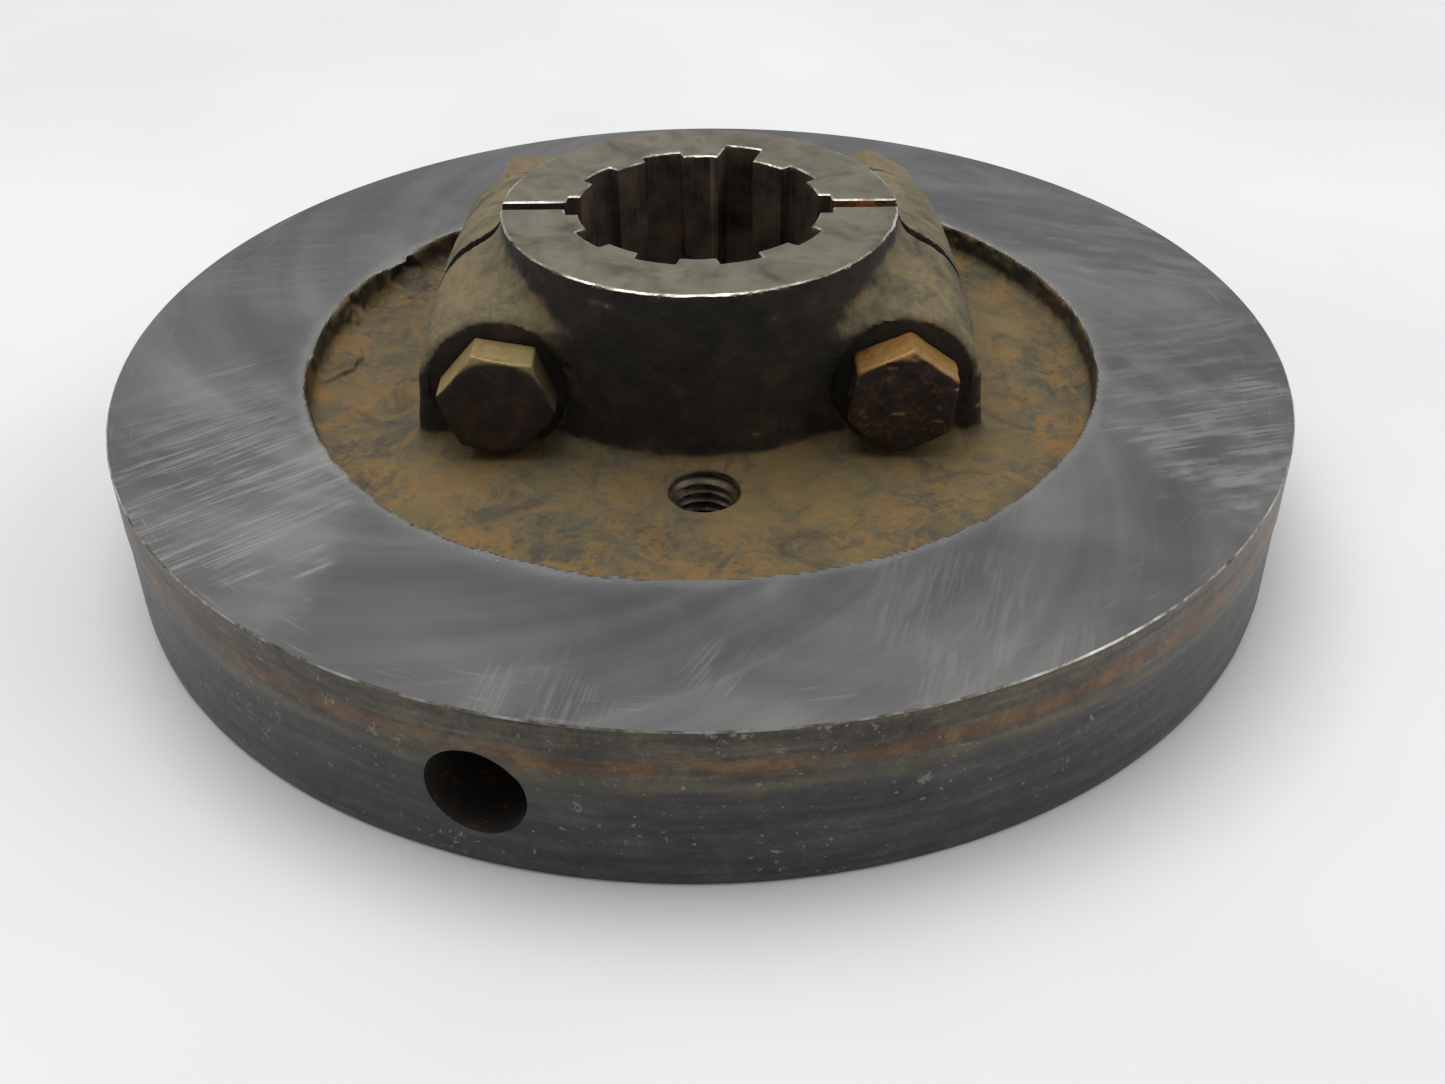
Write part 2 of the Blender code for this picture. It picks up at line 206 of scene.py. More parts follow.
def bore_field(x, y):
    """The splined bore, negative in the opening."""
    opening = np.hypot(x, y) - SPLINE_MINOR_RADIUS
    for index in range(SPLINE_COUNT):
        is_master = index == MASTER_SPLINE_INDEX
        reach = MASTER_SPLINE_RADIUS if is_master else SPLINE_MAJOR_RADIUS
        half_width = MASTER_SPLINE_HALF_WIDTH if is_master else SPLINE_HALF_WIDTH
        angle = 2.0 * math.pi * index / SPLINE_COUNT
        along = x * math.cos(angle) + y * math.sin(angle)
        across = np.abs(y * math.cos(angle) - x * math.sin(angle))
        groove = np.maximum(np.maximum(across - half_width, np.hypot(x, y) - reach), -along)
        opening = np.minimum(opening, groove)
    return opening


def foundry_marks(band, below_face):
    """Metal added by a raised plain pad on the web's right and a cold lap on its left."""
    x, y = band[:, 0], band[:, 1]
    pad_x = np.abs(x - PAD_CENTRE[0]) - PAD_HALF_SIZE[0]
    pad_y = np.abs(y - PAD_CENTRE[1]) - PAD_HALF_SIZE[1]
    past_pad = np.hypot(np.maximum(pad_x, 0.0), np.maximum(pad_y, 0.0)) - 1.6
    pad = np.clip(-past_pad / 1.2 + 0.5, 0.0, 1.0)
    past_lap = x + 0.8 * noise(band, 3.0, 10) - np.interp(y, LAP_LINE_Y, LAP_LINE_X)
    lap_end = np.clip((LAP_HALF_LENGTH - np.abs(y - LAP_MIDDLE_Y)) / 3.0, 0.0, 1.0)
    lap = np.clip(0.5 - past_lap / 0.4, 0.0, 1.0) * np.clip(1.0 + past_lap / 5.0, 0.0, 1.0) * lap_end
    return (PAD_HEIGHT * pad + LAP_HEIGHT * lap) * below_face


def wall_crust(band, wall_share, below_face):
    """Metal added, less metal missing, in two rough spots where the recess wall was badly filled."""
    degrees = np.degrees(np.arctan2(band[:, 1], band[:, 0]))
    spots = np.clip(1.5 - np.abs(degrees - 149.5) / 3.6, 0.0, 1.0)
    spots += 0.6 * np.clip(1.5 - np.abs(degrees - 163.0) / 2.6, 0.0, 1.0)
    lumps = 1.9 * np.clip(noise(band, 4.2, 11) + 0.55, 0.0, 1.0) + 0.5 * noise(band, 1.8, 12)
    gaps = 2.6 * np.clip(noise(band, 3.0, 13) - 0.15, 0.0, 1.0)
    return (lumps - gaps) * spots * wall_share * below_face


def casting_field(points):
    """The whole middle of the casting: web, recess wall, hub boss, lugs and every cut in them."""
    x, y, z = points.T
    radius = np.hypot(x, y)
    web_top = np.interp(radius, (WEB_INNER_RADIUS, RECESS_FOOT_RADIUS), (WEB_Z_AT_HUB, WEB_Z_AT_WALL))
    slab = z - web_top
    wall = np.interp(z, (WEB_Z_AT_WALL, FACE_Z), (RECESS_FOOT_RADIUS, RECESS_RADIUS)) - radius
    hub = radius - np.interp(z, (WEB_Z_AT_HUB, HUB_TOP), (HUB_BASE_RADIUS, HUB_TOP_RADIUS))
    for side in SIDES.values():
        hub = smooth_min(hub, lug_field(x, y, z, side), LUG_FILLET)
    solid = smooth_min(smooth_min(slab, wall, WALL_FILLET), hub, HUB_FILLET)

    near = np.abs(solid) < 2.5
    band = points[near]
    wall_share = np.clip((radius[near] - WALL_INNER_RADIUS) / 4.0, 0.0, 1.0)
    rough = 0.22 * noise(band, 15.0, 1) + 0.12 * noise(band, 5.0, 2) + 0.06 * noise(band, 1.9, 3)
    leftward = 0.62 - 0.38 * x[near] / RECESS_RADIUS
    rough += wall_share * leftward * (0.35 * noise(band, 8.0, 4) + 0.15 * noise(band, 3.0, 5))
    rough += 0.7 * np.clip(noise(band, 2.6, 6) - 0.6, 0.0, 1.0) + 0.12 * noise(band, 3.2, 8)
    below_face = z[near] < FACE_Z
    rough -= foundry_marks(band, below_face) + wall_crust(band, wall_share, below_face)
    solid[near] += rough

    edge = np.full(len(solid), 0.5)
    edge[near] += 0.5 * np.clip(noise(band, 2.2, 7) + 0.2, 0.0, 1.0)
    top = np.where(radius > WALL_INNER_RADIUS, FACE_Z, HUB_TOP)
    solid = smooth_max(solid, z - top, edge)
    solid = smooth_max(solid, -bore_field(x, y), 0.8 * edge)

    slit = np.maximum(np.abs(y) - SLIT_HALF_WIDTH, SLIT_FLOOR - z)
    slit = np.maximum(slit, np.maximum(np.abs(x) - SLIT_HALF_LENGTH, SLIT_START - np.abs(x)))
    solid = smooth_max(solid, -slit, 0.4)
    from_bolt = np.hypot(np.abs(x) - BOLT_X, z - BOLT_Z)
    spot = np.maximum(from_bolt - SPOT_FACE_RADIUS, (WEB_Z_AT_HUB + 0.1) - z)
    outside = np.minimum(y - (LUG_FRONT + SPOT_FACE_DEPTH), (LUG_REAR - SPOT_FACE_DEPTH) - y)
    past_lugs = np.abs(y) - CUTTER_REACH
    solid = smooth_max(solid, -np.maximum(np.maximum(spot, outside), past_lugs), 0.3)
    solid = smooth_max(solid, -np.maximum(from_bolt - CLEARANCE_HOLE_RADIUS, past_lugs), 0.3)
    for angle in TAPPED_ANGLES.values():
        from_hole = np.hypot(
            x - TAPPED_CIRCLE_RADIUS * math.cos(angle), y - TAPPED_CIRCLE_RADIUS * math.sin(angle))
        solid = smooth_max(solid, TAPPED_HOLE_RADIUS - from_hole, 0.7)
    solid = np.maximum(solid, UNDERSIDE_RELIEF - z)
    return np.maximum(solid, radius - CORE_RADIUS)


def hexagon_field(x, z, angle, blend):
    """Hexagonal prism along Y, with one corner at this angle from +X towards +Z."""
    distance = np.full(len(x), -1000.0)
    for index in range(3):
        facing = angle + math.radians(30.0 + 60.0 * index)
        across = np.abs(x * math.cos(facing) + z * math.sin(facing)) - HALF_ACROSS_FLATS
        distance = smooth_max(distance, across, blend)
    return distance


def chamfer_field(radius, depth):
    """The 30 degree chamfer of a hexagon's face, at `depth` millimetres behind that face."""
    outward = (radius - HEX_CHAMFER_RADIUS) * math.sin(HEX_CHAMFER_ANGLE)
    return outward - depth * math.cos(HEX_CHAMFER_ANGLE)


def head_field(points, angle, wear, seed):
    """Bolt head in its own place: axis along Y, seat at y = 0 and face at y = -HEAD_HEIGHT."""
    x, y, z = points.T
    radius = np.hypot(x, z)
    depth = y + HEAD_HEIGHT
    head = hexagon_field(x, z, angle, 0.25 + 0.5 * wear)
    head = smooth_max(head, chamfer_field(radius, depth), 0.3 + 0.3 * wear)
    head = smooth_max(head, -depth + 0.12 * wear * (1.0 + noise(points, 4.0, seed)), 0.4)
    head += 0.05 * noise(points, 5.0, seed + 1) + wear * 0.10 * noise(points, 2.0, seed + 2)
    head += wear * 0.5 * np.clip(noise(points, 1.6, seed + 3) - 0.45, 0.0, 1.0)
    head = smooth_max(head, y, 0.3)
    stub = np.maximum(radius - SHANK_RADIUS, np.abs(y) - 1.5)
    return smooth_min(head, stub, 0.3)


def nut_field(points, angle, seed):
    """Nut in its own place: axis along Y, from y = 0 to NUT_HEIGHT."""
    x, y, z = points.T
    radius = np.hypot(x, z)
    nut = hexagon_field(x, z, angle, 0.5)
    nut = smooth_max(nut, chamfer_field(radius, y), 0.4)
    nut = smooth_max(nut, chamfer_field(radius, NUT_HEIGHT - y), 0.4)
    nut = smooth_max(nut, np.maximum(-y, y - NUT_HEIGHT), 0.4)
    nut += 0.05 * noise(points, 4.0, seed) + 0.4 * np.clip(noise(points, 1.8, seed + 1) - 0.5, 0.0, 1.0)
    return smooth_max(nut, NUT_BORE_RADIUS - radius, 0.4)


# Turning a distance field into a mesh, with its edges kept sharp

def sample_field(field, low, step, counts):
    """The field at every node of a grid, one layer at a time."""
    values = np.empty(counts, np.float32)
    xs, ys, zs = (low[axis] + step * np.arange(counts[axis]) for axis in range(3))
    layer_y, layer_z = (grid.ravel() for grid in np.meshgrid(ys, zs, indexing="ij"))
    for index, x in enumerate(xs):
        layer = np.stack([np.full(layer_y.shape, x), layer_y, layer_z], axis=1)
        values[index] = field(layer).reshape(counts[1:])
    return values


def crossings(values, low, step):
    """Where grid edges pass through the surface: axis, start nodes, points, and which leave the metal."""
    found = []
    for axis in range(3):
        start = [slice(None)] * 3
        end = [slice(None)] * 3
        start[axis], end[axis] = slice(None, -1), slice(1, None)
        before, after = values[tuple(start)], values[tuple(end)]
        nodes = np.argwhere((before < 0.0) != (after < 0.0))
        first = before[tuple(nodes.T)].astype(float)
        second = after[tuple(nodes.T)].astype(float)
        points = nodes.astype(float)
        points[:, axis] += first / (first - second)
        found.append((axis, nodes, low + step * points, first < 0.0))
    return found


def field_normals(field, points):
    """Unit direction in which the field rises."""
    steps = 0.02 * np.eye(3)
    slopes = np.stack([field(points + step) - field(points - step) for step in steps], axis=1)
    return slopes / np.maximum(np.linalg.norm(slopes, axis=1, keepdims=True), 1e-9)


def surface_mesh(field, low, high, step):
    """Vertices and quads of the field's surface.

    Each grid cell that the surface passes through gets one vertex, put where the surface's tangent
    planes in that cell meet, so that edges stay sharp.
    """
    low = np.array(low, float)
    counts = tuple(np.ceil((np.array(high, float) - low) / step).astype(int) + 1)
    values = sample_field(field, low, step, counts)
    cell_of, place, facing, quads_of = [], [], [], []
    for axis, nodes, points, leaving in crossings(values, low, step):
        normals = field_normals(field, points)
        first, second = (axis + 1) % 3, (axis + 2) % 3
        around = []
        for back_first, back_second in ((1, 1), (0, 1), (0, 0), (1, 0)):
            cell = nodes.copy()
            cell[:, first] -= back_first
            cell[:, second] -= back_second
            flat = np.ravel_multi_index(tuple(cell.T), counts)
            around.append(flat)
            cell_of.append(flat)
            place.append(points)
            facing.append(normals)
        around = np.stack(around, axis=1)
        around[~leaving] = around[~leaving][:, ::-1]
        quads_of.append(around)
    cells, index_of = np.unique(np.concatenate(cell_of), return_inverse=True)
    place, facing = np.concatenate(place), np.concatenate(facing)
    total = len(cells)

    def gather(weights):
        return np.bincount(index_of, weights=weights, minlength=total)

    share = gather(None).astype(float)
    mean = np.stack([gather(place[:, axis]) for axis in range(3)], axis=1) / share[:, None]
    offset = np.einsum("ij,ij->i", facing, place - mean[index_of])
    matrix = np.zeros((total, 3, 3))
    target = np.zeros((total, 3))
    for row in range(3):
        target[:, row] = gather(facing[:, row] * offset)
        for column in range(3):
            matrix[:, row, column] = gather(facing[:, row] * facing[:, column])
        matrix[:, row, row] += 0.05 * share
    vertices = mean + np.linalg.solve(matrix, target[:, :, None])[:, :, 0]
    corner = low + step * np.stack(np.unravel_index(cells, counts), axis=1)
    vertices = np.clip(vertices, corner, corner + step)
    quads = np.searchsorted(cells, np.concatenate(quads_of))
    return vertices, quads


# Mesh helpers

def add_mesh(name, vertices, faces):
    """Object from vertices in millimetres."""
    mesh = bpy.data.meshes.new(name)
    mesh.from_pydata((np.asarray(vertices) / MM).tolist(), [], [list(face) for face in faces])
    mesh.validate()
    item = bpy.data.objects.new(name, mesh)
    bpy.context.scene.collection.objects.link(item)
    return item


def apply_modifiers(item):
    """Replace the object's mesh by what its modifiers make of it."""
    bpy.context.view_layer.update()
    result = bpy.data.meshes.new_from_object(item.evaluated_get(bpy.context.evaluated_depsgraph_get()))
    item.modifiers.clear()
    item.data = result


def combine(item, other, operation, solver="EXACT"):
    """Join or cut with another object, which is then deleted."""
    modifier = item.modifiers.new("combine", "BOOLEAN")
    modifier.operation = operation
    modifier.solver = solver
    modifier.object = other
    before = len(item.data.polygons)
    apply_modifiers(item)
    if len(item.data.polygons) == before:
        raise RuntimeError(f"{item.name} and {other.name} did not combine")
    bpy.data.objects.remove(other, do_unlink=True)


def ring_faces(rows, segments, closed):
    """Quads over rows of points round an axis; a closed surface joins its last row to its first."""
    faces = []
    for row in range(rows if closed else rows - 1):
        following = (row + 1) % rows
        for column in range(segments):
            after = (column + 1) % segments
            faces.append((
                row * segments + column, following * segments + column,
                following * segments + after, row * segments + after))
    return faces


def ring(radius, angles, height):
    """Points round Z at these angles, as far out as radius says, all at one height."""
    heights = np.full(len(angles), height)
    return np.stack([radius * np.cos(angles), radius * np.sin(angles), heights], axis=1)


def turned(profile, segments):
    """Vertices of (radius, height) points turned about Z."""
    angles = 2.0 * math.pi * np.arange(segments) / segments
    return np.array([(r * math.cos(a), r * math.sin(a), h) for r, h in profile for a in angles])


def thread_radius(angle, along, minor, major):
    """Radius of a right-hand thread at this angle round its axis and distance along it."""
    phase = (along / THREAD_PITCH - angle / (2.0 * math.pi)) % 1.0
    height = np.clip(1.3 * np.abs(2.0 * phase - 1.0) - 0.15, 0.0, 1.0)
    return minor + (major - minor) * height


def add_field(name, field, low, high, step):
    """Object made from a distance field."""
    vertices, quads = surface_mesh(field, low, high, step)
    return add_mesh(name, vertices, quads)


def thin_out(item, triangles):
    """Merge the triangles of nearly flat places until about this many are left."""
    item.data.calc_loop_triangles()
    share = triangles / len(item.data.loop_triangles)
    if share < 1.0:
        modifier = item.modifiers.new("thin_out", "DECIMATE")
        modifier.ratio = share
        apply_modifiers(item)


def split_into_triangles(item):
    """Triangulate well-shaped, so that no sliver is left to fold over."""
    shape = bmesh.new()
    shape.from_mesh(item.data)
    bmesh.ops.triangulate(shape, faces=shape.faces)
    shape.to_mesh(item.data)
    shape.free()
    item.data.update()


def shade(item, angle):
    item.data.shade_smooth()
    item.data.set_sharp_from_angle(angle=math.radians(angle))


# Finishes

def tone(red, green, blue):
    """Linear colour from screen values of 0 to 255."""
    parts = [value / 255.0 for value in (red, green, blue)]
    linear = [
        part / 12.92 if part <= 0.04045 else ((part + 0.055) / 1.055) ** 2.4
        for part in parts]
    return (*linear, 1.0)


class Finish:
    """A node material being put together. Sizes are in millimetres."""

    def __init__(self, name, roughness, metallic, specular=0.5):
        self.material = bpy.data.materials.new(name)
        self.material.use_nodes = True
        tree = self.material.node_tree
        self.nodes, self.links = tree.nodes, tree.links
        self.shader = tree.nodes["Principled BSDF"]
        self.shader.inputs["Roughness"].default_value = roughness
        self.shader.inputs["Metallic"].default_value = metallic
        self.shader.inputs["Specular IOR Level"].default_value = specular
        self.place = self.nodes.new("ShaderNodeTexCoord").outputs["Object"]
        self.facing = self.nodes.new("ShaderNodeTexCoord").outputs["Normal"]

    def add(self, kind, inputs, **settings):
        node = self.nodes.new(kind)
        for name, value in settings.items():
            setattr(node, name, value)
        for name, value in inputs.items():
            if isinstance(value, bpy.types.NodeSocket):
                self.links.new(value, node.inputs[name])
            else:
                node.inputs[name].default_value = value
        return node

    def set(self, name, value):
        self.links.new(value, self.shader.inputs[name])

    def math(self, operation, first, second=0.0, third=0.0):
        inputs = {0: first, 1: second, 2: third}
        return self.add("ShaderNodeMath", inputs, operation=operation).outputs[0]

    def vector(self, operation, first, second):
        return self.add("ShaderNodeVectorMath", {0: first, 1: second}, operation=operation).outputs[0]

    def parts(self, value):
        return self.add("ShaderNodeSeparateXYZ", {0: value}).outputs

    def join(self, x, y, z):
        return self.add("ShaderNodeCombineXYZ", {0: x, 1: y, 2: z}).outputs[0]

    def from_axis(self, x, y):
        """How far a place is from the disc's axis."""
        squares = self.math("ADD", self.math("MULTIPLY", x, x), self.math("MULTIPLY", y, y))
        return self.math("SQRT", squares)

    def turn(self, degrees, lengths, place=None):
        """The place turned about Z and then divided by a length along each axis."""
        inputs = {"Vector": place or self.place, "Angle": math.radians(-degrees)}
        turned_place = self.add("ShaderNodeVectorRotate", inputs, rotation_type="Z_AXIS").outputs[0]
        return self.vector("MULTIPLY", turned_place, tuple(MM / length for length in lengths))

    def noise(self, size, detail=4.0, rough=0.55, place=None, warp=0.0):
        inputs = {
            "Vector": place or self.place, "Scale": MM / size, "Detail": detail,
            "Roughness": rough, "Distortion": warp}
        return self.add("ShaderNodeTexNoise", inputs).outputs["Fac"]

    def streaks(self, vector, detail, rough):
        """Noise of a vector that is already in lengths of its own."""
        inputs = {"Vector": vector, "Scale": 1.0, "Detail": detail, "Roughness": rough}
        return self.add("ShaderNodeTexNoise", inputs).outputs["Fac"]

    def band(self, value, low, high):
        """0 at low, 1 at high, and smooth in between; low may be the greater."""
        inputs = {"Value": value, "From Min": low, "From Max": high}
        return self.add("ShaderNodeMapRange", inputs, interpolation_type="SMOOTHSTEP").outputs["Result"]

    def ramp(self, value, *stops):
        node = self.add("ShaderNodeValToRGB", {"Fac": value})
        elements = node.color_ramp.elements
        while len(elements) < len(stops):
            elements.new(0.5)
        for element, (position, colour) in zip(elements, stops):
            element.position, element.color = position, colour
        return node.outputs["Color"]

    def mix(self, share, first, second):
        return self.add("ShaderNodeMix", {0: share, 6: first, 7: second}, data_type="RGBA").outputs[2]

    def cover(self, colour, tint, share, strength):
        """The colour with a tint over it, which is whole where share times strength is 1."""
        return self.mix(self.math("MULTIPLY", share, strength), colour, tint)

    def bump(self, height, depth, strength):
        """Roughen the surface by this many millimetres."""
        inputs = {"Height": height, "Distance": depth / MM, "Strength": strength}
        if self.shader.inputs["Normal"].is_linked:
            inputs["Normal"] = self.shader.inputs["Normal"].links[0].from_socket
        self.set("Normal", self.add("ShaderNodeBump", inputs).outputs["Normal"])


def machined_face_finish():
    """The ground ring: dark satin grey with soft slanting sweeps, sanding strokes and fine arcs."""
    f = Finish("machined_face", 0.42, 0.85)
    x, y = f.parts(f.place)[:2]
    radius = f.from_axis(x, y)
    around = f.vector("NORMALIZE", f.join(x, y, 0.0), (0.0, 0.0, 0.0))
    around_x, around_y = f.parts(around)[:2]
    skew = {"Vector": around, "Angle": f.math("MULTIPLY", radius, 17.0)}
    swept = f.add("ShaderNodeVectorRotate", skew, rotation_type="Z_AXIS").outputs["Vector"]
    swept_x, swept_y = f.parts(swept)[:2]
    swept_place = f.join(swept_x, swept_y, radius)
    sweep = f.streaks(f.vector("MULTIPLY", swept_place, (6.0, 6.0, 14.0)), 3.0, 0.5)
    soft = f.noise(44.0, 3.0, 0.5, warp=0.8)
    cloud = f.math("ADD", f.math("MULTIPLY", sweep, 0.42), f.math("MULTIPLY", soft, 0.58))
    colour = f.ramp(
        cloud,
        (0.36, (0.082, 0.079, 0.081, 1.0)), (0.46, (0.102, 0.099, 0.100, 1.0)),
        (0.56, (0.130, 0.128, 0.125, 1.0)), (0.68, (0.18, 0.179, 0.171, 1.0)))
    halo = f.band(f.math("ADD", radius, f.math("MULTIPLY", soft, 0.016)), 0.0905, 0.0840)
    colour = f.cover(colour, (0.185, 0.185, 0.178, 1.0), halo, 0.5)
    lip = f.band(f.math("MULTIPLY_ADD", f.noise(12.0, 3.0), 0.005, radius), 0.0830, 0.0805)
    colour = f.cover(colour, (0.235, 0.235, 0.225, 1.0), lip, 0.45)
    fine = f.streaks(f.vector("MULTIPLY", swept_place, (55.0, 55.0, 28.0)), 3.0, 0.6)
    colour = f.cover(colour, (0.23, 0.23, 0.22, 1.0), f.band(fine, 0.50, 0.80), 0.12)
    strokes = None
    for centre_x, centre_y, reach, degrees, width, strength in (
            (-80.0, -49.0, 27.0, 38.0, 0.75, 1.0), (-90.0, -22.0, 16.0, 30.0, 0.75, 0.55),
            (102.0, -36.0, 20.0, 14.0, 0.9, 1.0), (99.0, -8.0, 26.0, 13.0, 3.4, 0.45),
            (100.0, -45.0, 17.0, 14.0, 6.0, 1.0), (76.0, 70.0, 22.0, -34.0, 5.0, 0.3),
            (90.0, 42.0, 24.0, -22.0, 3.4, 0.50), (60.0, 84.0, 20.0, -44.0, 3.0, 0.35),
            (-84.0, 40.0, 24.0, 8.0, 0.75, 0.25), (44.0, -92.0, 20.0, 74.0, 0.75, 0.30),
            (-26.0, -106.0, 9.0, 78.0, 0.6, 0.40), (7.0, -104.0, 9.0, 62.0, 0.6, 0.35),
            (-104.0, -30.0, 14.0, 34.0, 3.0, 0.35)):
        away = f.vector("SUBTRACT", f.place, (centre_x / MM, centre_y / MM, FACE_Z / MM))
        distance = f.add("ShaderNodeVectorMath", {0: away}, operation="LENGTH").outputs["Value"]
        ragged = f.math("MULTIPLY_ADD", f.math("SUBTRACT", f.noise(14.0, 3.0), 0.5), 0.045, distance)
        near = f.band(ragged, (reach + 5.0) / MM, (reach - 7.0) / MM)
        line = f.streaks(f.turn(degrees, (15.0, width, 10.0)), 3.0, 0.7)
        patch = f.streaks(f.turn(degrees, (14.0, 4.5, 10.0)), 2.0, 0.5)
        sharp = f.math("MULTIPLY", f.band(line, 0.42, 0.62), f.band(patch, 0.36, 0.58))
        stroke = f.math("MULTIPLY", f.math("MULTIPLY", sharp, near), strength)
        strokes = stroke if strokes is None else f.math("MAXIMUM", strokes, stroke)
    colour = f.cover(colour, (0.255, 0.252, 0.236, 1.0), strokes, 0.7)
    round_place = f.join(around_x, around_y, radius)
    swirl = f.streaks(f.vector("MULTIPLY", round_place, (8.0, 8.0, 1400.0)), 2.0, 0.6)
    arcs = f.math("MULTIPLY", f.band(swirl, 0.60, 0.74), f.band(radius, 0.098, 0.110))
    colour = f.cover(colour, (0.26, 0.26, 0.25, 1.0), arcs, 0.30)
    stain = f.band(f.noise(24.0, 4.0, 0.6, warp=0.8), 0.60, 0.76)
    colour = f.cover(colour, (0.075, 0.066, 0.052, 1.0), stain, 0.30)
    f.set("Base Color", colour)
    cloud_roughness = f.math("MULTIPLY_ADD", soft, 0.16, 0.35)
    f.set("Roughness", f.math("MULTIPLY_ADD", strokes, 0.12, cloud_roughness))
    f.bump(f.streaks(f.turn(35.0, (18.0, 0.45, 10.0)), 3.0, 0.7), 0.012, 0.6)
    f.bump(f.noise(1.4, 3.0), 0.01, 0.5)
    return f.material


def hub_face_finish():
    """The hub's end ring: dull grey metal with tan staining and a few spots of rust."""
    f = Finish("hub_face", 0.42, 0.8)
    cloud = f.noise(9.0, 5.0, 0.6, warp=0.5)
    colour = f.ramp(
        cloud, (0.32, tone(74, 67, 52)), (0.46, tone(101, 95, 78)),
        (0.60, tone(116, 111, 95)), (0.74, tone(94, 85, 66)))
    fine = f.streaks(f.turn(20.0, (9.0, 0.7, 9.0)), 3.0, 0.65)
    colour = f.cover(colour, tone(150, 147, 138), f.band(fine, 0.58, 0.76), 0.3)
    rust = f.band(f.noise(4.5, 4.0, 0.65, warp=1.0), 0.66, 0.76)
    colour = f.cover(colour, tone(118, 82, 44), rust, 0.6)
    f.set("Base Color", colour)
    f.set("Roughness", f.math("MULTIPLY_ADD", cloud, 0.3, 0.28))
    f.bump(f.noise(2.2, 4.0, 0.6), 0.03, 0.6)
    f.bump(fine, 0.012, 0.5)
    return f.material


def cast_skin_finish():
    """Cast surfaces: dusty olive and orange rust on top; on the upright sides, oiled brown-black that is partly
    painted shade, where the light from above barely reaches.
    """
    f = Finish("cast_skin", 0.72, 0.0, 0.35)
    x, y, z = f.parts(f.place)
    radius = f.from_axis(x, y)
    upward = f.parts(f.facing)[2]
    broad = f.noise(30.0, 5.0, 0.6, warp=0.5)
    middle = f.noise(8.0, 6.0, 0.7, warp=0.5)
    grain = f.noise(1.5, 5.0, 0.7)
    lumps = f.math("MULTIPLY_ADD", broad, 0.40, f.math("MULTIPLY", middle, 0.38))
    mottle = f.math("MULTIPLY_ADD", grain, 0.22, lumps)
    web_colour = f.ramp(
        mottle, (0.38, tone(51, 46, 34)), (0.45, tone(75, 69, 51)), (0.51, tone(90, 79, 52)),
        (0.57, tone(102, 85, 49)), (0.64, tone(107, 95, 69)))
    rust_cloud = f.noise(9.0, 6.0, 0.75, warp=0.8)
    rusty = f.math("MULTIPLY_ADD", grain, 0.30, f.math("MULTIPLY", rust_cloud, 0.70))
    outward = f.band(radius, 0.048, 0.074)
    rust_reach = f.math("MULTIPLY_ADD", outward, 0.42, 0.28)
    rust_share = f.math("MULTIPLY", f.band(rusty, 0.47, 0.57), rust_reach)
    web_colour = f.mix(rust_share, web_colour, tone(124, 92, 46))
    deep_rust = f.band(f.noise(4.0, 5.0, 0.7, warp=1.0), 0.58, 0.70)
    web_colour = f.cover(web_colour, tone(122, 72, 36), f.math("MULTIPLY", deep_rust, rust_share), 0.8)
    dark = f.band(f.noise(14.0, 6.0, 0.7, warp=0.7), 0.53, 0.65)
    web_colour = f.cover(web_colour, tone(54, 50, 40), dark, 0.62)
    web_colour = f.cover(web_colour, tone(60, 50, 34), f.band(grain, 0.52, 0.70), 0.40)
    raised = f.band(z, 0.0315, 0.0360)
    lug_colour = f.ramp(
        mottle, (0.38, tone(52, 46, 34)), (0.45, tone(84, 75, 53)), (0.51, tone(104, 93, 66)),
        (0.57, tone(120, 103, 64)), (0.64, tone(110, 80, 44)))
    up_colour = f.mix(raised, web_colour, lug_colour)
    # Upright faces take a darker colour: partly oiled oxide, partly painted shade for sides that the light from
    # above barely reaches.
    upright = f.band(f.math("ADD", upward, f.math("MULTIPLY_ADD", middle, 0.3, -0.15)), 0.40, 0.05)
    oil_and_painted_shade = f.ramp(
        middle, (0.35, tone(28, 26, 22)), (0.52, tone(40, 36, 29)),
        (0.66, tone(56, 46, 33)), (0.78, tone(74, 50, 30)))
    colour = f.mix(upright, up_colour, oil_and_painted_shade)
    f.set("Base Color", colour)
    dry_roughness = f.math("MULTIPLY_ADD", grain, 0.2, 0.62)
    f.set("Roughness", f.math("MULTIPLY_ADD", upright, -0.16, dry_roughness))
    f.bump(middle, 0.5, 0.6)
    f.bump(grain, 0.22, 0.8)
    return f.material


